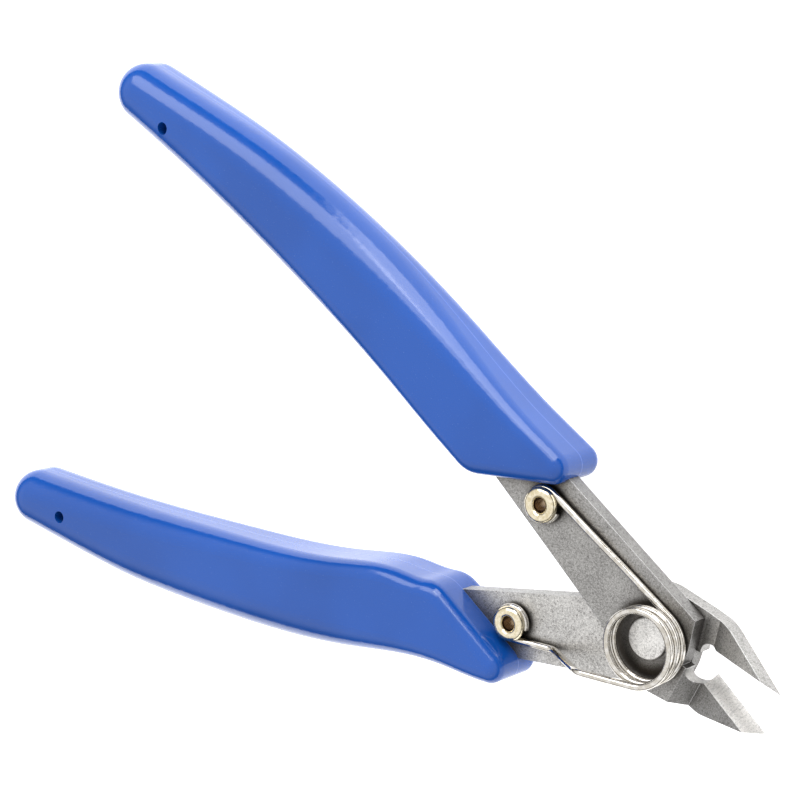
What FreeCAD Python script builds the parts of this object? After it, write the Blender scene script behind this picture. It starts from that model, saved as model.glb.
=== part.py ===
import FreeCAD, Part
import math
import os

# Flush cut pliers: two crossed steel halves on one rivet, a torsion return
# spring hooked round two tubular posts, and two moulded grips.
# Millimetres. +X runs along the centre line towards the jaws and +Z is the
# face that carries the spring.
#
# Every steel and grip outline is drawn once for a closed tool, with the pivot
# axis at X = Y = 0, the sliding plane at Z = 0, the handle on the +Y side and
# the jaw on the -Y side.  The rear half is the mirror image.  Each half is
# then turned to the open rest position, and the whole tool is moved so that
# the origin lies under its middle, level with the backs of the grips.

# --- driving dimensions -------------------------------------------------
half_opening = 8.0             # each half turns this many degrees to open

plate_thickness = 2.3
slide_gap = 0.1                # between the facing sides of the two halves

shoulder_top = (4.45, 6.15)    # square shoulder beside the crossing
shoulder_mid = (5.5, 2.2)
shoulder_foot = (5.7, 0.2)
boss_radius = 6.7              # rounded steel round the pivot
jaw_heel = (6.9, -5.5)         # outer side of the jaw, from heel to tip
jaw_corner = (10.2, -4.9)
jaw_corner_radius = 6.0
jaw_tip = (20.0, 0.0)
edge_gap = 0.03                # cutting edge to the centre line when closed

joggle_start = 6.35            # steel steps across from here ...
jaw_crease = 8.3               # ... to here, where the jaw is bent forward
jaw_level = -0.95              # middle of the jaw steel at the crease
jaw_bend = 23.5                # degrees
bevel_width = 1.2              # how far the edge bevel reaches on the front

relief_centre = (7.75, -0.35)  # round relief behind the cutting edge
relief_radius = 1.3

neck_inner = (-6.2, -2.8)      # inner side of the neck, near the pivot
mouth_inner = (-30.5, 5.05)    # inner side where the neck enters the grip
mouth_outer = (-20.0, 11.2)
tang_inner = (-62.0, 13.0)     # strip inside the grip
tang_inner_end = (-92.0, 15.8)
tang_outer_end = (-92.0, 20.4)
tang_outer = (-62.0, 18.3)

rivet_radius = 2.0
rivet_clearance = 0.03
rivet_head_radius = 2.8
rivet_head_height = 0.4
rivet_head_gap = 0.04

post_reach = 22.32             # post axis from the pivot axis
post_angle = 16.6              # from the centre line, tool closed
post_shank_radius = 1.5
post_barrel_radius = 1.6
post_barrel_height = 1.3
post_flange_radius = 2.45
post_flange_height = 0.85
post_bore_radius = 0.9
post_back_radius = 2.2
post_back_height = 0.4

wire_radius = 0.475
wire_clearance = 0.05
coil_centre = (0.64, -0.29)
coil_radius = 4.9
coil_pitch = 1.56
coil_full_turns = 2
hook_wrap = 285.0              # degrees of each hook round its post
hook_play = 0.15               # inside of each hook to the post barrel
hook_radius = post_barrel_radius + hook_play + wire_radius
hook_lift = 0.25               # each hook rides this far above its plate's seat
ramp_start = 7.6               # each leg changes height between these two
ramp_end = 16.5                # distances from the coil
ramp_corner = 0.2              # share of the ramp that rounds each end

grip_thickness = 10.4
grip_end_round = 4.0           # rounded edges at the free end,
grip_back_round = 4.9          # at the middle of the outer side,
grip_head_round = 2.0          # and round the mouth
grip_inner = [(-90.0, 12.85), (-70.0, 10.45), (-50.0, 6.95), (-40.0, 4.7)]
grip_outer = [(-30.0, 15.2), (-45.0, 18.8), (-60.0, 22.0), (-80.0, 23.8)]
grip_back = 2                  # the roundest place, counted along grip_outer
mouth_slant = 28.5             # degrees, the head end of the grip
mouth_length = 11.7
front_lip = (-22.3, 11.7)       # centres of the rounded lips
rear_lip = (-21.7, 12.4)
lip_radius = 2.25
nose_radius = 5.0
inner_heading = -12.0          # direction of the inner side at the nose
outer_heading = -9.0           # direction of the outer side at the lip
end_centre = (-107.7, 18.45)
end_radius = 4.25
end_taper = 3.5                # degrees
front_grip_hole = (-99.85, 17.25)
rear_grip_hole = (-100.05, 18.4)
grip_hole_radius = 0.9
grip_hole_depth = 3.0

# --- worked-out values --------------------------------------------------
half_gap = slide_gap / 2
front_top = half_gap + plate_thickness
rear_bottom = -front_top
jaw_half = plate_thickness / 2
bend = math.radians(jaw_bend)


def vec(x, y, z=0.0):
    return FreeCAD.Vector(x, y, z)


def flat(point):
    return vec(point[0], point[1])


def polar(radius, degrees, centre=(0.0, 0.0)):
    angle = math.radians(degrees)
    return (centre[0] + radius * math.cos(angle),
            centre[1] + radius * math.sin(angle))


def line(start, end):
    return Part.makeLine(flat(start), flat(end))


def arc(start, middle, end):
    return Part.Arc(flat(start), flat(middle), flat(end)).toShape()


def rounded_corner(start, corner, end, radius):
    """Two straight edges that meet in an arc."""
    back = (flat(start) - flat(corner)).normalize()
    ahead = (flat(end) - flat(corner)).normalize()
    half_angle = back.getAngle(ahead) / 2
    first = flat(corner) + back * (radius / math.tan(half_angle))
    last = flat(corner) + ahead * (radius / math.tan(half_angle))
    inward = (back + ahead).normalize()
    middle = flat(corner) + inward * (radius / math.sin(half_angle) - radius)
    return [
        Part.makeLine(flat(start), first),
        Part.Arc(first, middle, last).toShape(),
        Part.makeLine(last, flat(end)),
    ]


def spline_through(points, start_heading=None, end_heading=None):
    spline = Part.BSplineCurve()
    places = [flat(point) for point in points]
    if start_heading is None:
        spline.interpolate(Points=places)
    else:
        spline.interpolate(Points=places,
                           InitialTangent=flat(polar(1, start_heading)),
                           FinalTangent=flat(polar(1, end_heading)))
    return spline


def curve(points, start_heading=None, end_heading=None):
    return spline_through(points, start_heading, end_heading).toShape()


def slab(edges, bottom, top):
    face = Part.Face(Part.Wire(edges))
    face.translate(vec(0, 0, bottom))
    return face.extrude(vec(0, 0, top - bottom))


def disc(radius, bottom, top, centre=(0.0, 0.0)):
    return Part.makeCylinder(radius, top - bottom,
                             vec(centre[0], centre[1], bottom))


def open_front(shape):
    shape.rotate(vec(0, 0), vec(0, 0, 1), -half_opening)
    return shape


def open_rear(shape):
    shape.rotate(vec(0, 0), vec(0, 0, 1), half_opening)
    return shape


def other_side(shape):
    return shape.mirror(vec(0, 0), vec(0, 1))


# --- steel halves -------------------------------------------------------
def boss_touch():
    """Point where the rounded boss runs into the outer side of the jaw."""
    reach = math.hypot(jaw_heel[0], jaw_heel[1])
    heel_angle = math.degrees(math.atan2(jaw_heel[1], jaw_heel[0]))
    return heel_angle - math.degrees(math.acos(boss_radius / reach))


def half_outline():
    neck_angle = math.degrees(math.atan2(neck_inner[1], neck_inner[0]))
    neck_point = polar(boss_radius, neck_angle)
    touch_angle = boss_touch()
    touch_point = polar(boss_radius, touch_angle)
    middle = (neck_angle + touch_angle) / 2
    return [
        line(shoulder_top, shoulder_mid),
        line(shoulder_mid, shoulder_foot),
        line(shoulder_foot, (shoulder_foot[0], -edge_gap)),
        line((shoulder_foot[0], -edge_gap), (jaw_tip[0], -edge_gap)),
        *rounded_corner((jaw_tip[0], -edge_gap), jaw_corner, jaw_heel, jaw_corner_radius),
        line(jaw_heel, touch_point),
        arc(touch_point, polar(boss_radius, middle), neck_point),
        line(neck_point, mouth_inner),
        curve([mouth_inner, tang_inner, tang_inner_end]),
        line(tang_inner_end, tang_outer_end),
        curve([tang_outer_end, tang_outer, mouth_outer]),
        line(mouth_outer, shoulder_top),
    ]


def side_profile(plate_bottom, plate_top):
    """Steel seen from the side: flat, stepped across, bent forward."""
    far = jaw_tip[0] + 4.0
    rise = (far - jaw_crease) * math.tan(bend)
    under_shift = plate_thickness * math.tan(bend / 2)
    under_x = jaw_crease + under_shift
    under_rise = (far - under_x) * math.tan(bend)
    back = tang_inner_end[0] - 1.0
    corners = [
        (back, plate_top),
        (joggle_start, plate_top),
        (jaw_crease, jaw_level + jaw_half),
        (far, jaw_level + jaw_half + rise),
        (far, jaw_level - jaw_half + under_rise),
        (under_x, jaw_level - jaw_half),
        (joggle_start, plate_bottom),
        (back, plate_bottom),
    ]
    points = [vec(x, 0, z) for x, z in corners]
    face = Part.Face(Part.makePolygon(points + points[:1]))
    face.translate(vec(0, -30, 0))
    return face.extrude(vec(0, 60, 0))


def bevel_cutter():
    """Stock on the handle side of the ground bevel, along the bent jaw."""
    slope = bevel_width / plate_thickness
    over = 1.0
    points = [
        vec(0, -edge_gap + slope * over, -over),
        vec(0, -edge_gap - slope * (plate_thickness + over), plate_thickness + over),
        vec(0, 6, plate_thickness + over),
        vec(0, 6, -over),
    ]
    cutter = Part.Face(Part.makePolygon(points + points[:1])).extrude(vec(16, 0, 0))
    cutter.rotate(vec(0, 0), vec(0, 1), -jaw_bend)
    under_x = jaw_crease + plate_thickness * math.tan(bend / 2)
    cutter.translate(vec(under_x, 0, jaw_level - jaw_half))
    return cutter


def steel_half(plate_bottom, plate_top):
    body = slab(half_outline(), -20, 20)
    body = body.common(side_profile(plate_bottom, plate_top))
    body = body.cut(bevel_cutter())
    body = body.cut(disc(relief_radius, -20, 20, relief_centre))
    post = polar(post_reach, 180 - post_angle)
    body = body.cut(disc(post_shank_radius, -20, 20, post))
    return body.removeSplitter()


def front_half():
    body = steel_half(half_gap, front_top)
    return body.cut(disc(rivet_radius + rivet_clearance, -20, 20))


def rear_half():
    body = steel_half(rear_bottom, -half_gap)
    return other_side(body.cut(disc(rivet_radius, -20, 20)))


# --- rivet and posts ----------------------------------------------------
def rivet():
    head_bottom = front_top + rivet_head_gap
    shaft = disc(rivet_radius, rear_bottom, head_bottom)
    heads = [
        disc(rivet_head_radius, head_bottom, front_top + rivet_head_height),
        disc(rivet_head_radius, rear_bottom - rivet_head_height, rear_bottom),
    ]
    for head in heads:
        rims = [edge for edge in head.Edges if len(edge.Vertexes) == 1]
        outer = max(rims, key=lambda edge: abs(edge.CenterOfMass.z))
        shaft = shaft.fuse(head.makeChamfer(0.12, [outer]))
    return shaft.removeSplitter()


def spring_post(plate_bottom, plate_top):
    """Tubular post with a rolled flange, standing on a plate."""
    flange_bottom = plate_top + post_barrel_height
    flange_top = flange_bottom + post_flange_height
    flange = disc(post_flange_radius, flange_bottom, flange_top)
    flange = flange.cut(disc(post_bore_radius, flange_bottom, flange_top))
    rims = [edge for edge in flange.Edges
            if len(edge.Vertexes) == 1 and edge.CenterOfMass.z > flange_top - 1e-6]
    flange = flange.makeFillet((post_flange_radius - post_bore_radius) * 0.49, rims)
    back_bottom = plate_bottom - post_back_height
    post = flange.fuse(disc(post_barrel_radius, plate_top, flange_bottom))
    post = post.fuse(disc(post_shank_radius, plate_bottom, plate_top))
    post = post.fuse(disc(post_back_radius, back_bottom, plate_bottom))
    post = post.cut(disc(post_bore_radius, back_bottom, flange_top)).removeSplitter()
    x, y = polar(post_reach, 180 - post_angle)
    post.translate(vec(x, y))
    return post


# --- return spring ------------------------------------------------------
def leg_normal(side):
    """Angle at which a leg leaves the coil, measured towards its own side."""
    post = post_place(side)
    east = post[0] - coil_centre[0]
    north = side * (post[1] - coil_centre[1])
    lean = math.acos((coil_radius - hook_radius) / math.hypot(east, north))
    return math.degrees(math.atan2(north, east) - lean)


def post_place(side):
    """Post axis at rest: side is +1 for the front half and -1 for the rear."""
    return polar(post_reach, side * (180 - post_angle - half_opening))


def ramp(share):
    """Straight rise from 0 to 1 with a rounded corner at each end."""
    share = min(max(share, 0.0), 1.0)
    if share > 0.5:
        return 1 - ramp(1 - share)
    bent = min(share, ramp_corner)
    return (bent * bent / 2 + ramp_corner * (share - bent)) / (ramp_corner * (1 - ramp_corner))


def leg_and_hook(side, coil_height, hook_height):
    """Points along the wire from the coil to a post and round it."""
    normal = leg_normal(side)
    post = post_place(side)
    start = flat(polar(coil_radius, side * normal, coil_centre))
    along = flat(polar(hook_radius, side * normal, post)) - start
    path = []
    leg_steps = 18
    for step in range(1, leg_steps):
        place = start + along * (step / leg_steps)
        share = (along.Length * step / leg_steps - ramp_start) / (ramp_end - ramp_start)
        height = coil_height + (hook_height - coil_height) * ramp(share)
        path.append(vec(place.x, place.y, height))
    hook_steps = 16
    for step in range(hook_steps + 1):
        turned = side * (normal + hook_wrap * step / hook_steps)
        x, y = polar(hook_radius, turned, post)
        path.append(vec(x, y, hook_height))
    return path


def spring():
    seat = wire_clearance + wire_radius
    low = front_top + seat
    first = leg_normal(1)
    sweep = first + leg_normal(-1) + 360.0 * coil_full_turns
    high = low + coil_pitch * sweep / 360.0
    front_leg = leg_and_hook(1, low, low + hook_lift)
    rear_leg = leg_and_hook(-1, high, seat + hook_lift - half_gap)

    path = list(reversed(front_leg))
    coil_steps = 58
    for step in range(coil_steps + 1):
        turned = sweep * step / coil_steps
        x, y = polar(coil_radius, first - turned, coil_centre)
        path.append(vec(x, y, low + coil_pitch * turned / 360.0))
    path += rear_leg

    spline = Part.BSplineCurve()
    spline.interpolate(Points=path)
    heading = spline.tangent(spline.FirstParameter)[0]
    section = Part.Circle(path[0], heading, wire_radius).toShape()
    sweeper = Part.BRepOffsetAPI.MakePipeShell(Part.Wire(spline.toShape()))
    sweeper.setBiNormalMode(vec(0, 0, 1))
    sweeper.add(Part.Wire(section))
    sweeper.build()
    sweeper.makeSolid()
    return sweeper.shape()


# --- grips --------------------------------------------------------------
def grip_outline(lip_centre):
    """Outline of a grip: inner side, mouth, lip, outer side, free end."""
    slant = mouth_slant - 90
    lip_foot = polar(lip_radius, slant, lip_centre)
    slant_foot = polar(-mouth_length, mouth_slant, lip_foot)
    nose_centre = polar(-nose_radius, slant, slant_foot)
    inner_end = polar(nose_radius, inner_heading - 90, nose_centre)
    outer_start = polar(lip_radius, outer_heading + 90, lip_centre)
    inner_start = polar(end_radius, -90 - end_taper, end_centre)
    outer_end = polar(end_radius, 90 + end_taper, end_centre)
    outer = spline_through([outer_start] + grip_outer + [outer_end],
                           180 + outer_heading, 180 + end_taper)
    back = outer.parameter(flat(grip_outer[grip_back]))
    return [
        curve([inner_start] + grip_inner + [inner_end], -end_taper, inner_heading),
        arc(inner_end, polar(nose_radius, slant - 10, nose_centre), slant_foot),
        line(slant_foot, lip_foot),
        arc(lip_foot, polar(lip_radius, 0, lip_centre), outer_start),
        outer.toShape(outer.FirstParameter, back),
        outer.toShape(back, outer.LastParameter),
        arc(outer_end, polar(end_radius, 180, end_centre), inner_start),
    ]


def edge_radius(corner):
    """Radius of the rounded edges at one corner of the grip's outline."""
    from_back = corner.x - grip_outer[grip_back][0]
    if abs(from_back) < 1e-3:
        return grip_back_round
    return grip_head_round if from_back > 0 else grip_end_round


def grip(steel, hole, lip_centre):
    half = grip_thickness / 2
    drawing = FreeCAD.newDocument()
    blank = drawing.addObject("Part::Feature", "blank")
    blank.Shape = slab(grip_outline(lip_centre), -half, half)
    rounded = drawing.addObject("Part::Fillet", "rounded")
    rounded.Base = blank
    rims = []
    for number, edge in enumerate(blank.Shape.Edges, 1):
        if abs(abs(edge.CenterOfMass.z) - half) < 1e-6:
            radii = [edge_radius(vertex.Point) for vertex in edge.Vertexes]
            rims.append((number, radii[0], radii[-1]))
    rounded.Edges = rims
    drawing.recompute()
    body = rounded.Shape.copy()
    body = body.cut(disc(grip_hole_radius, half - grip_hole_depth, half, hole))
    return body.cut(steel)


def main():
    front_steel = front_half()
    rear_steel = rear_half()
    front_grip = grip(front_steel, front_grip_hole, front_lip)
    rear_blank = other_side(rear_steel)
    rear_grip = other_side(grip(rear_blank, rear_grip_hole, rear_lip))

    pieces = {
        "front_blade_half": open_front(front_steel),
        "front_grip": open_front(front_grip),
        "front_spring_post": open_front(spring_post(half_gap, front_top)),
        "rear_blade_half": open_rear(rear_steel),
        "rear_grip": open_rear(rear_grip),
        "rear_spring_post": open_rear(other_side(spring_post(rear_bottom, -half_gap))),
        "pivot_rivet": rivet(),
        "return_spring": spring(),
    }
    boxes = [shape.BoundBox for name, shape in pieces.items() if name != "return_spring"]
    middle = (min(box.XMin for box in boxes) + max(box.XMax for box in boxes)) / 2
    to_origin = vec(-middle, 0, grip_thickness / 2)

    os.makedirs("parts", exist_ok=True)
    for name, shape in pieces.items():
        solid = shape.Solids[0]
        solid.translate(to_origin)
        solid.exportStep("parts/" + name + ".step")
    print("pivot axis at X =", round(-middle, 4))

main()
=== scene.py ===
import math

import bpy
from mathutils import Matrix, Vector


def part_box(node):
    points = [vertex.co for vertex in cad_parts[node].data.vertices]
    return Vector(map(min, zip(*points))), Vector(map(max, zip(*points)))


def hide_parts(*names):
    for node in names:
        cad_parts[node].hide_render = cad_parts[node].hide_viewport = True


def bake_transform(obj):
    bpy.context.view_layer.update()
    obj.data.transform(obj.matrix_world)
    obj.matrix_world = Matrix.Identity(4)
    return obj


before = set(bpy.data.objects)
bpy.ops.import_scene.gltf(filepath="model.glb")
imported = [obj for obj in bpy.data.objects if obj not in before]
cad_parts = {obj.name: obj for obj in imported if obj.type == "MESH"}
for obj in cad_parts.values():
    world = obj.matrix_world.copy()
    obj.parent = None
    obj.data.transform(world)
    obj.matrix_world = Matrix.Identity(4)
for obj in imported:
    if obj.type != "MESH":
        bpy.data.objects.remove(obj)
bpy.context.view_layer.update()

MM = 0.001

# --- where things are, from the frame -------------------------------------
rivet_low, rivet_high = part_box("pivot_rivet")
PIVOT = (rivet_low + rivet_high) / 2
PLANE = PIVOT.z                     # the sliding plane of the two halves
HALF_OPENING = math.radians(8.0)    # each half, at rest
JAW_BEND = math.radians(23.5)
PLATE = 2.3 * MM
SLIDE_GAP = 0.1 * MM
FRONT_TOP = PLANE + SLIDE_GAP / 2 + PLATE
RIVET_HEAD = 2.8 * MM               # radius

BEVEL_WIDTH = 1.2 * MM
BEVEL_MATCH = 0.98                  # cosine from which a face counts as bevel
RELIEF_CENTRE = Vector((7.75 * MM, -0.35 * MM, 0.0))  # from the pivot, tool closed
RELIEF_RADIUS = 1.3 * MM
RELIEF_MARGIN = 1.04                # radii within which an upright face is its wall
UPRIGHT = 0.1                       # largest upward part of an upright face's normal

POST_REACH = 22.32 * MM
POST_ANGLE = math.radians(180.0 - 16.6) - HALF_OPENING
POST_BORE = 0.9 * MM

# --- spring wire -----------------------------------------------------------
WIRE_RADIUS = 0.475 * MM
WIRE_SEAT = 0.525 * MM              # wire centre above the plate it lies on
WIRE_SIDES = 20
WIRE_NIB = 0.25                     # length of the softened ends, in wire radii
WIRE_TIP = 0.72                     # their size at the very end, in wire radii
COIL_CENTRE = Vector((0.64 * MM, -0.29 * MM, 0.0))    # from the pivot
COIL_RADIUS = 4.9 * MM
COIL_PITCH = 1.56 * MM
COIL_TURNS = 2
COIL_STEPS = 200
HOOK_RADIUS = 2.225 * MM
HOOK_LIFT = 0.25 * MM
HOOK_WRAP = math.radians(285.0)
HOOK_STEPS = 56
LEG_STEPS = 60
RAMP_START = 7.6 * MM               # along each leg, from the coil
RAMP_END = 16.5 * MM
RAMP_CORNER = 0.2                   # share of the ramp that rounds each end

# --- camera, floor and light -----------------------------------------------
CAMERA_AIM = Vector((-48.14 * MM, 10.54 * MM, 0.0))   # from the pivot
CAMERA_DISTANCE = 347.43 * MM
CAMERA_AZIMUTH = math.radians(35.96)                  # from +X towards +Y
CAMERA_ELEVATION = math.radians(52.41)
CAMERA_ROLL = math.radians(-102.485)
CAMERA_LENS = 114.05
CAMERA_SENSOR = 36.0
CAMERA_NEAR = 0.01
CAMERA_FAR = 20.0
FLOOR_HALF = 2.0                    # half the width of the floor
FLOOR_GLOW = 1.0
FLOOR_ROUGH = 0.9
HORIZON_HEIGHT = 0.12               # the sky brightens from this height
SKY_HEIGHT = 0.60                   # to this one
HORIZON_TONE = 0.18
SKY_TONE = 1.35
LIGHT_AIM = 0.8                     # share of CAMERA_AIM that the lights point at
LIGHT_DISTANCE = 0.9
LIGHTS = (                          # name, direction, size, power
    ("softbox", Vector((-0.45, 0.62, 0.62)), (0.7, 0.45), 4.0),
    ("strip", Vector((-0.10, 0.95, 0.30)), (0.3, 0.7), 4.2))

# --- finishes --------------------------------------------------------------
# The two halves are one steel; their different tones are painted light and shade.
BLADES = (                          # piece, side, tone of its steel
    ("front_blade_half", 1, 0.27),
    ("rear_blade_half", -1, 0.43))
EDGE_WEAR_AND_HIGHLIGHT = 0.12 * MM               # radius of the rounded steel edges, brightened by wear and a painted highlight
WORN_EDGE_AND_HIGHLIGHT_TONE = 0.62
CREVICE_REACH = 4.5 * MM
SIDE_WALL_SHADE = 0.36                 # how much painted shade darkens the upright side walls
SIDE_WALL_SHADE_TONE = 0.04
COIL_SHADE_DARK = 0.92
PARTING_LINE = 0.09 * MM
PLASTIC_IOR = 1.47

SPECK = (0.07, 0.065, 0.06, 1)
PIT = (0.03, 0.025, 0.02, 1)
# colour of the painted shade in corners and crevices
CORNER_SHADE = (0.035, 0.028, 0.022, 1)
COIL_SHADE = (0.020, 0.016, 0.012, 1)
DARK_BLUE = (0.003, 0.052, 0.265, 1)
BLUE = (0.004, 0.062, 0.31, 1)
BLUE_DUST = (0.20, 0.32, 0.66, 1)
BLUE_SEAM = (0.10, 0.20, 0.62, 1)
DULL_NICKEL = (0.46, 0.43, 0.38, 1)
NICKEL = (0.62, 0.60, 0.57, 1)
TARNISH = (0.30, 0.22, 0.15, 1)
DULL_BRASS = (0.56, 0.48, 0.32, 1)
BRASS = (0.70, 0.64, 0.50, 1)
BRASS_PIT = (0.30, 0.22, 0.11, 1)
BORE_BROWN = (0.17, 0.10, 0.05, 1)


def direction(azimuth, elevation):
    return Vector((math.cos(azimuth) * math.cos(elevation),
                   math.sin(azimuth) * math.cos(elevation),
                   math.sin(elevation)))


def link(obj):
    bpy.context.scene.collection.objects.link(obj)
    return obj


def make_camera():
    data = bpy.data.cameras.new("camera")
    data.lens = CAMERA_LENS
    data.sensor_width = CAMERA_SENSOR
    data.clip_start = CAMERA_NEAR
    data.clip_end = CAMERA_FAR
    camera = link(bpy.data.objects.new("camera", data))
    back = direction(CAMERA_AZIMUTH, CAMERA_ELEVATION)
    level = Vector((0.0, 0.0, 1.0)).cross(back).normalized()
    upright = back.cross(level)
    turn = Matrix.Rotation(CAMERA_ROLL, 3, back)
    right = turn @ level
    up = turn @ upright
    spot = PIVOT + CAMERA_AIM + back * CAMERA_DISTANCE
    camera.matrix_world = Matrix.Translation(spot) @ Matrix((
        (right.x, up.x, back.x, 0.0),
        (right.y, up.y, back.y, 0.0),
        (right.z, up.z, back.z, 0.0),
        (0.0, 0.0, 0.0, 1.0)))
    bpy.context.scene.camera = camera


# --- shader helpers --------------------------------------------------------
class Shader:
    """A material or world node tree, with short calls to add its nodes."""

    def __init__(self, owner):
        owner.use_nodes = True
        self.tree = owner.node_tree
        self.tree.nodes.clear()

    def add(self, kind, inputs=None, **settings):
        node = self.tree.nodes.new(kind)
        for name, value in settings.items():
            setattr(node, name, value)
        for name, value in (inputs or {}).items():
            self.put(node.inputs[name], value)
        return node

    def put(self, socket, value):
        if isinstance(value, bpy.types.NodeSocket):
            self.tree.links.new(value, socket)
        else:
            socket.default_value = value

    def combine(self, kind, operation, values):
        """Outputs of a node that works on values in the order of its inputs."""
        node = self.add(kind, operation=operation)
        for socket, value in zip(node.inputs, values):
            self.put(socket, value)
        return node.outputs

    def math(self, operation, *values):
        return self.combine("ShaderNodeMath", operation, values)["Value"]

    def vector(self, operation, *values):
        return self.combine("ShaderNodeVectorMath", operation, values)

    def band(self, value, low, high, to_low=0.0, to_high=1.0):
        """value eased from low..high to to_low..to_high."""
        node = self.add("ShaderNodeMapRange", {
            "Value": value, "From Min": low, "From Max": high,
            "To Min": to_low, "To Max": to_high}, interpolation_type="SMOOTHSTEP")
        return node.outputs["Result"]

    def mix(self, share, first, second):
        node = self.add("ShaderNodeMix", data_type="RGBA")
        self.put(node.inputs[0], share)
        self.put(node.inputs[6], first)
        self.put(node.inputs[7], second)
        return node.outputs[2]

    def clouds(self, pattern, dark, light, low=0.3, high=0.7):
        """dark and light tones that follow a pattern."""
        return self.mix(self.band(pattern, low, high), dark, light)

    def spots(self, base, pattern, low, high, strength, colour):
        """base, with colour over it where the pattern rises from low to high."""
        return self.mix(self.band(pattern, low, high, 0.0, strength), base, colour)

    def noise(self, coords, scale, detail=2.0, roughness=0.5):
        node = self.add("ShaderNodeTexNoise", {
            "Vector": coords, "Scale": scale, "Detail": detail,
            "Roughness": roughness})
        return node.outputs["Fac"]

    def bump(self, height, distance, strength, normal=None):
        inputs = {"Height": height, "Distance": distance, "Strength": strength}
        if normal is not None:
            inputs["Normal"] = normal
        return self.add("ShaderNodeBump", inputs).outputs["Normal"]

    def place(self, scale=(1.0, 1.0, 1.0)):
        """Object coordinates in millimetres, stretched by scale."""
        coords = self.add("ShaderNodeTexCoord")
        mapped = self.add("ShaderNodeMapping", {
            "Vector": coords.outputs["Object"],
            "Scale": [axis / MM for axis in scale]})
        return mapped.outputs["Vector"]

    def finish(self, inputs):
        """Ends a material with a principled surface."""
        surface = self.add("ShaderNodeBsdfPrincipled", inputs)
        output = self.add("ShaderNodeOutputMaterial")
        self.tree.links.new(surface.outputs[0], output.inputs["Surface"])

    def finish_metal(self, base, rough, normal):
        self.finish({"Base Color": base, "Metallic": 1.0,
                     "Roughness": rough, "Normal": normal})


def grey(value):
    return (value, value, value, 1.0)


def warm_grey(value):
    return (value, value * 0.98, value * 0.95, 1.0)


def new_material(name):
    material = bpy.data.materials.new(name)
    return material, Shader(material)


# --- materials -------------------------------------------------------------
def axis_distance(s, centre):
    """Distance from an upright axis through centre, in object coordinates."""
    coords = s.add("ShaderNodeTexCoord")
    away = s.vector("SUBTRACT", coords.outputs["Object"], centre)["Vector"]
    across = s.vector("MULTIPLY", away, (1.0, 1.0, 0.0))["Vector"]
    return s.vector("LENGTH", across)["Value"]


def coil_shade(s, base):
    """base, with painted shade in a ring under the coil."""
    away = axis_distance(s, PIVOT)
    inner = s.band(away, RIVET_HEAD * 0.85, COIL_RADIUS * 0.92)
    outer = s.band(away, COIL_RADIUS * 1.22, COIL_RADIUS * 0.95)
    share = s.math("MULTIPLY", s.math("MULTIPLY", inner, outer), COIL_SHADE_DARK)
    return s.mix(share, base, COIL_SHADE)


def steel(name, tone, grit, shine, grain=0.0, corner_shade=0.9, ring=False):
    """Bare steel: fine speckle, cloudy tone, painted shade in corners, bright edges.

    grit is how strong the speckle is, shine the least roughness, grain the height
    of the grinding marks, and grime how dark the painted shade in the corners is.
    The bright edges are partly wear and partly a painted highlight. ring adds
    painted shade in a ring under the coil.
    """
    material, s = new_material(name)
    where = s.place()
    cloud = s.noise(where, 0.28, 3.0)
    speckle = s.noise(where, 3.6, 3.0, 0.75)
    fine = s.noise(where, 7.5, 2.0, 0.6)
    pits = s.noise(where, 2.2, 4.0, 0.8)

    base = s.clouds(cloud, warm_grey(tone * 0.84), warm_grey(tone * 1.08))
    base = s.spots(base, fine, 0.42, 0.66, grit, warm_grey(min(1.0, tone * 1.9)))
    base = s.spots(base, speckle, 0.48, 0.66, grit, SPECK)
    base = s.spots(base, pits, 0.62, 0.70, 0.8, PIT)

    # painted shade: darker where ambient occlusion finds corners and crevices
    crevice = s.add("ShaderNodeAmbientOcclusion", {"Distance": CREVICE_REACH},
                    samples=8)
    corner_shade_share = s.band(crevice.outputs["AO"], 0.30, 0.92, corner_shade, 0.0)
    base = s.mix(corner_shade_share, base, CORNER_SHADE)
    # painted shade in a ring under the coil, on the front half
    if ring:
        base = coil_shade(s, base)

    rounded = s.add("ShaderNodeBevel", {"Radius": EDGE_WEAR_AND_HIGHLIGHT}, samples=6)
    flat = s.add("ShaderNodeNewGeometry").outputs["True Normal"]
    upward = s.add("ShaderNodeSeparateXYZ", {"Vector": flat}).outputs["Z"]
    # painted shade: upright side walls darker than the flat faces
    side_wall_shade = s.band(s.math("ABSOLUTE", upward), 0.5, 0.2, 0.0, SIDE_WALL_SHADE)
    base = s.mix(side_wall_shade, base, warm_grey(SIDE_WALL_SHADE_TONE))
    # bright edges: partly real wear, partly a painted highlight
    turned = s.vector("DOT_PRODUCT", rounded.outputs["Normal"], flat)["Value"]
    edge_wear_and_highlight = s.math("MULTIPLY", s.band(turned, 0.98, 0.86), 0.8)
    base = s.mix(edge_wear_and_highlight, base, grey(WORN_EDGE_AND_HIGHLIGHT_TONE))

    height = s.math("ADD", s.math("MULTIPLY", speckle, 0.6),
                    s.math("MULTIPLY", fine, 0.5))
    height = s.math("SUBTRACT", height, s.band(pits, 0.64, 0.76, 0.0, 0.8))
    if grain:
        across = s.noise(s.place((4.5, 0.35, 0.35)), 1.0, 3.0, 0.7)
        base = s.spots(base, across, 0.50, 0.68, 0.6, grey(tone * 0.5))
        height = s.math("ADD", height, s.math("MULTIPLY", across, grain))
    normal = s.bump(height, 0.03 * MM, 0.6, rounded.outputs["Normal"])
    rough = s.band(speckle, 0.3, 0.75, shine, shine + 0.14)
    s.finish_metal(base, rough, normal)
    return material


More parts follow.
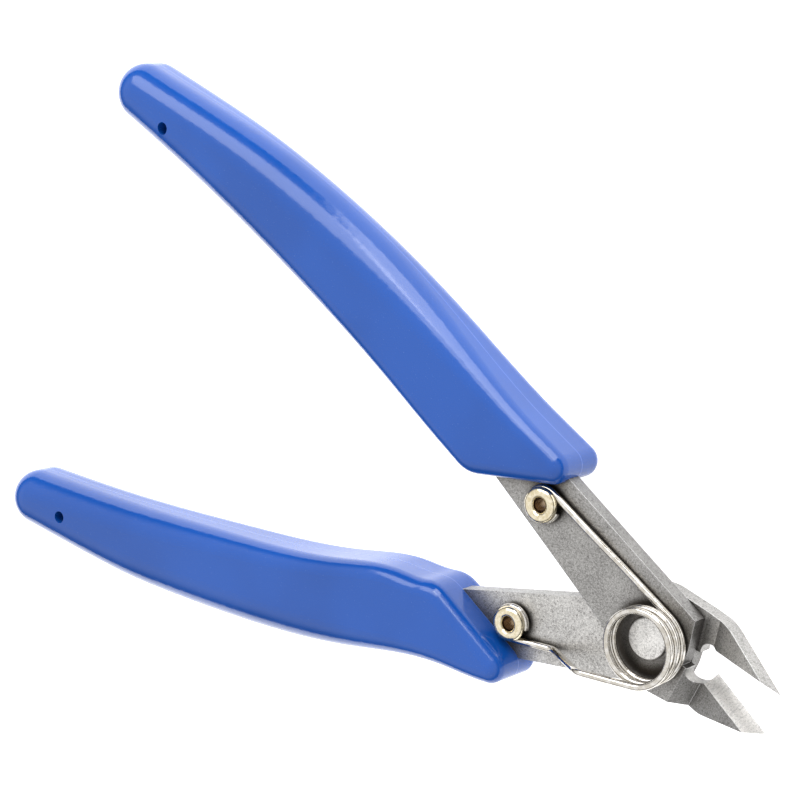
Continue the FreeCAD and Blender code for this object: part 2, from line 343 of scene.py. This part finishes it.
def plastic():
    """Glossy moulded blue plastic: faint orange peel and a fine parting line."""
    material, s = new_material("grip_blue")
    where = s.place()
    cloud = s.noise(where, 0.06, 2.0)
    peel = s.noise(where, 0.9, 2.0, 0.4)
    dust = s.noise(where, 6.0, 1.0)
    base = s.clouds(cloud, DARK_BLUE, BLUE)
    base = s.spots(base, dust, 0.72, 0.80, 0.2, BLUE_DUST)

    coords = s.add("ShaderNodeTexCoord")
    height = s.add("ShaderNodeSeparateXYZ", {"Vector": coords.outputs["Object"]})
    away = s.math("ABSOLUTE", s.math("SUBTRACT", height.outputs["Z"], PLANE))
    seam = s.band(away, PARTING_LINE * 0.4, PARTING_LINE, 1.0, 0.0)
    base = s.mix(s.math("MULTIPLY", seam, 0.45), base, BLUE_SEAM)

    rough = s.band(s.noise(where, 1.7, 3.0), 0.3, 0.7, 0.10, 0.17)
    swell = s.math("ADD", s.math("MULTIPLY", peel, 0.5),
                   s.math("MULTIPLY", seam, 0.6))
    normal = s.bump(swell, 0.04 * MM, 0.25)
    s.finish({"Base Color": base, "Roughness": rough, "IOR": PLASTIC_IOR,
              "Normal": normal})
    return material


def nickel_wire():
    """Bright drawn wire: nearly smooth, with a few faint tarnish marks."""
    material, s = new_material("wire_nickel")
    where = s.place()
    marks = s.noise(where, 1.3, 3.0, 0.6)
    base = s.clouds(marks, DULL_NICKEL, NICKEL, low=0.35)
    base = s.spots(base, s.noise(where, 6.0, 1.0), 0.68, 0.78, 0.4, TARNISH)
    rough = s.band(marks, 0.3, 0.75, 0.07, 0.15)
    s.finish_metal(base, rough, s.bump(marks, 0.01 * MM, 0.2))
    return material


def brass_post(side):
    """Pale brass, glossy on the rolled rim and brown inside the bore."""
    material, s = new_material("post_brass_" + ("front" if side > 0 else "rear"))
    where = s.place()
    marks = s.noise(where, 1.6, 3.0, 0.6)
    pits = s.noise(where, 7.0, 2.0)
    base = s.clouds(marks, DULL_BRASS, BRASS)
    base = s.spots(base, pits, 0.62, 0.76, 0.3, BRASS_PIT)

    away = axis_distance(s, post_axis(side))
    inside = s.band(away, POST_BORE * 1.12, POST_BORE * 0.96)
    base = s.mix(inside, base, BORE_BROWN)
    rough = s.band(marks, 0.3, 0.75, 0.12, 0.26)
    height = s.math("ADD", marks, s.math("MULTIPLY", pits, 0.4))
    s.finish_metal(base, rough, s.bump(height, 0.02 * MM, 0.4))
    return material


def floor_material():
    """White sheet that glows a little, so that shadows on it stay faint."""
    material, s = new_material("floor_pale")
    tone = s.noise(s.place((0.01, 0.01, 0.01)), 1.0, 2.0)
    base = s.clouds(tone, grey(0.86), grey(0.90))
    s.finish({"Base Color": base, "Roughness": FLOOR_ROUGH,
              "Emission Color": base, "Emission Strength": FLOOR_GLOW})
    return material


# --- spring ----------------------------------------------------------------
def post_axis(side):
    angle = side * POST_ANGLE
    return PIVOT + Vector((math.cos(angle), math.sin(angle), 0.0)) * POST_REACH


def leg_normal(side):
    """Angle at which a leg leaves the coil, measured towards its own side."""
    span = post_axis(side) - PIVOT - COIL_CENTRE
    lean = math.acos((COIL_RADIUS - HOOK_RADIUS) / math.hypot(span.x, span.y))
    return math.atan2(side * span.y, span.x) - lean


def around(centre, radius, angle, height):
    return Vector((centre.x + radius * math.cos(angle),
                   centre.y + radius * math.sin(angle), height))


def ramp(share):
    """Straight rise from 0 to 1 with a rounded corner at each end."""
    share = min(max(share, 0.0), 1.0)
    if share > 0.5:
        return 1 - ramp(1 - share)
    bent = min(share, RAMP_CORNER)
    rise = bent * bent / 2 + RAMP_CORNER * (share - bent)
    return rise / (RAMP_CORNER * (1 - RAMP_CORNER))


def leg_and_hook(side, coil_height, hook_height):
    """Points along the wire from the coil to a post and round it."""
    normal = leg_normal(side)
    post = post_axis(side)
    start = around(PIVOT + COIL_CENTRE, COIL_RADIUS, side * normal, coil_height)
    end = around(post, HOOK_RADIUS, side * normal, coil_height)
    length = (end - start).length
    path = []
    for index in range(1, LEG_STEPS):
        place = start.lerp(end, index / LEG_STEPS)
        along = length * index / LEG_STEPS
        share = (along - RAMP_START) / (RAMP_END - RAMP_START)
        place.z += (hook_height - coil_height) * ramp(share)
        path.append(place)
    for index in range(HOOK_STEPS + 1):
        angle = side * (normal + HOOK_WRAP * index / HOOK_STEPS)
        path.append(around(post, HOOK_RADIUS, angle, hook_height))
    return path


def spring_path():
    """Points along the whole wire, from the front hook to the rear one."""
    low = FRONT_TOP + WIRE_SEAT
    first = leg_normal(1)
    sweep = first + leg_normal(-1) + 2 * math.pi * COIL_TURNS
    high = low + COIL_PITCH * sweep / (2 * math.pi)
    rear_height = PLANE - SLIDE_GAP / 2 + WIRE_SEAT + HOOK_LIFT
    path = list(reversed(leg_and_hook(1, low, low + HOOK_LIFT)))
    for index in range(COIL_STEPS + 1):
        turned = sweep * index / COIL_STEPS
        height = low + COIL_PITCH * turned / (2 * math.pi)
        path.append(around(PIVOT + COIL_CENTRE, COIL_RADIUS, first - turned, height))
    return path + leg_and_hook(-1, high, rear_height)


def wire_rings(path, radius):
    """Centre, direction and radius of each ring of a wire with softened ends."""
    tangents = []
    for index in range(len(path)):
        ahead = path[min(index + 1, len(path) - 1)]
        behind = path[max(index - 1, 0)]
        tangents.append((ahead - behind).normalized())
    first, last = tangents[0], tangents[-1]
    nib = radius * WIRE_NIB
    tip = radius * WIRE_TIP
    rings = [(path[0], first, tip), (path[0] + first * nib, first, radius)]
    rings += [(point, tangent, radius)
              for point, tangent in zip(path[1:-1], tangents[1:-1])]
    rings += [(path[-1] - last * nib, last, radius), (path[-1], last, tip)]
    return rings


def tube(name, path, radius):
    """Closed round bar along a path."""
    rings = wire_rings(path, radius)
    vertices = []
    for centre, tangent, size in rings:
        sideways = Vector((0.0, 0.0, 1.0)).cross(tangent).normalized()
        upwards = tangent.cross(sideways)
        for index in range(WIRE_SIDES):
            angle = 2 * math.pi * index / WIRE_SIDES
            spoke = sideways * math.cos(angle) + upwards * math.sin(angle)
            vertices.append(centre + spoke * size)
    faces = []
    for ring in range(len(rings) - 1):
        here = ring * WIRE_SIDES
        beyond = here + WIRE_SIDES
        for index in range(WIRE_SIDES):
            after = (index + 1) % WIRE_SIDES
            faces.append((here + index, here + after, beyond + after, beyond + index))
    last = (len(rings) - 1) * WIRE_SIDES
    faces.append(tuple(reversed(range(WIRE_SIDES))))
    faces.append(tuple(last + index for index in range(WIRE_SIDES)))
    mesh = bpy.data.meshes.new(name)
    mesh.from_pydata([tuple(vertex) for vertex in vertices], [], faces)
    mesh.polygons.foreach_set("use_smooth", [len(face) == 4 for face in faces])
    mesh.update()
    return link(bpy.data.objects.new(name, mesh))


# --- finishes on the CAD pieces ---------------------------------------------
def paint(node, *materials):
    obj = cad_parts[node]
    obj.data.materials.clear()
    for material in materials:
        obj.data.materials.append(material)


def closed_turn(vector, side):
    """A direction on a half at rest, turned to the closed tool and its front side."""
    turned = Matrix.Rotation(side * HALF_OPENING, 3, "Z") @ vector
    turned.y *= side
    return turned


def mark_ground(node, side):
    """Gives the ground bevel and the relief wall their own bright finish."""
    slope = Vector((0.0, PLATE, BEVEL_WIDTH)).normalized()
    facing = Matrix.Rotation(-JAW_BEND, 3, "Y") @ slope
    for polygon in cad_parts[node].data.polygons:
        normal = closed_turn(polygon.normal, side)
        place = closed_turn(polygon.center - PIVOT, side) - RELIEF_CENTRE
        place.z = 0.0
        in_relief = (abs(normal.z) < UPRIGHT
                     and place.length < RELIEF_RADIUS * RELIEF_MARGIN)
        if normal.dot(facing) > BEVEL_MATCH or in_relief:
            polygon.material_index = 1


def dress():
    ground = steel("steel_ground", 0.66, 0.35, 0.30, grain=1.2, corner_shade=0.3)
    head = steel("steel_rivet", 0.60, 0.45, 0.34, corner_shade=0.15)
    for node, side, tone in BLADES:
        paint(node, steel("steel_" + node, tone, 0.55, 0.34, ring=side > 0), ground)
        mark_ground(node, side)
    paint("pivot_rivet", head)
    blue = plastic()
    paint("front_grip", blue)
    paint("rear_grip", blue)
    paint("front_spring_post", brass_post(1))
    paint("rear_spring_post", brass_post(-1))


def make_spring():
    wire = tube("spring_wire", spring_path(), WIRE_RADIUS)
    wire.data.materials.append(nickel_wire())
    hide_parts("return_spring")
    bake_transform(wire)


# --- stage -------------------------------------------------------------------
def make_floor():
    corners = [(x * FLOOR_HALF, y * FLOOR_HALF, 0.0)
               for x, y in ((-1, -1), (1, -1), (1, 1), (-1, 1))]
    mesh = bpy.data.meshes.new("floor")
    mesh.from_pydata(corners, [], [(0, 1, 2, 3)])
    floor = link(bpy.data.objects.new("floor", mesh))
    floor.data.materials.append(floor_material())


def area_light(name, towards, size, power):
    data = bpy.data.lights.new(name, "AREA")
    data.shape = "RECTANGLE"
    data.size, data.size_y = size
    data.energy = power
    light = link(bpy.data.objects.new(name, data))
    light.location = (PIVOT + CAMERA_AIM * LIGHT_AIM
                      + towards.normalized() * LIGHT_DISTANCE)
    light.rotation_mode = "QUATERNION"
    light.rotation_quaternion = towards.to_track_quat("Z", "Y")


def make_lights():
    world = bpy.data.worlds.new("studio")
    bpy.context.scene.world = world
    s = Shader(world)
    coords = s.add("ShaderNodeTexCoord")
    height = s.add("ShaderNodeSeparateXYZ", {"Vector": coords.outputs["Generated"]})
    tone = s.band(height.outputs["Z"], HORIZON_HEIGHT, SKY_HEIGHT,
                  HORIZON_TONE, SKY_TONE)
    shade = s.add("ShaderNodeCombineColor", {"Red": tone, "Green": tone, "Blue": tone})
    sky = s.add("ShaderNodeBackground", {"Color": shade.outputs[0], "Strength": 1.0})
    output = s.add("ShaderNodeOutputWorld")
    s.tree.links.new(sky.outputs[0], output.inputs["Surface"])
    for light in LIGHTS:
        area_light(*light)


bpy.context.scene.view_settings.view_transform = "Standard"
make_camera()
make_floor()
make_lights()
dress()
make_spring()
